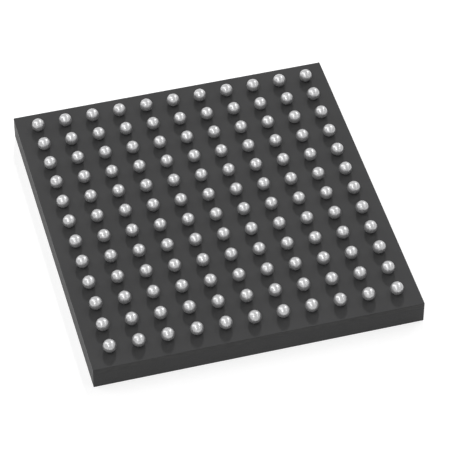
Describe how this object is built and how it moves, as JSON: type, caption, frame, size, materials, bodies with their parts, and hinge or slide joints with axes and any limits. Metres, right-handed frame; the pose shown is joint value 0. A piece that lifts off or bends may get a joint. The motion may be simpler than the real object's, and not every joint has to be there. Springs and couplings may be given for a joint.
{
  "type": "ball grid array package",
  "caption": "Thin square-edged chip package lying balls up: a full matrix of bright solder balls on a dark laminate face, for soldering face down onto a circuit board.",
  "frame": {"origin": "centre of the moulded face, on the plane that the package rests on", "axes": "+X along a row of balls, towards column 1; +Y towards row A; +Z out of the ball side"},
  "size_m": [0.0116, 0.0126, 0.0013],
  "materials": {
    "moulding_compound": "matte, fine grain",
    "laminate": "sawn, matte",
    "solder_mask": "satin",
    "solder": "satin, reflowed",
    "copper": "bright",
    "gold": "bright",
    "silicon": "polished",
    "attach_film": "matte"
  },
  "bodies": {
    "root": {"mould_cap": "moulding_compound", "die": "silicon", "die_attach": "attach_film", "die_side_mask": "solder_mask", "substrate_core": "laminate", "vias": "copper", "ball_side_copper": "copper", "ball_side_mask": "solder_mask", "bond_wires_left": "gold", "bond_wires_right": "gold", "bond_wires_front": "gold", "bond_wires_back": "gold", "fan_out_left": "copper", "fan_out_right": "copper", "fan_out_front": "copper", "fan_out_back": "copper", "ball_row_a": "solder", "ball_row_b": "solder", "ball_row_c": "solder", "ball_row_d": "solder", "ball_row_e": "solder", "ball_row_f": "solder", "ball_row_g": "solder", "ball_row_h": "solder", "ball_row_j": "solder", "ball_row_k": "solder", "ball_row_l": "solder", "ball_row_m": "solder"}
  },
  "joints": []
}
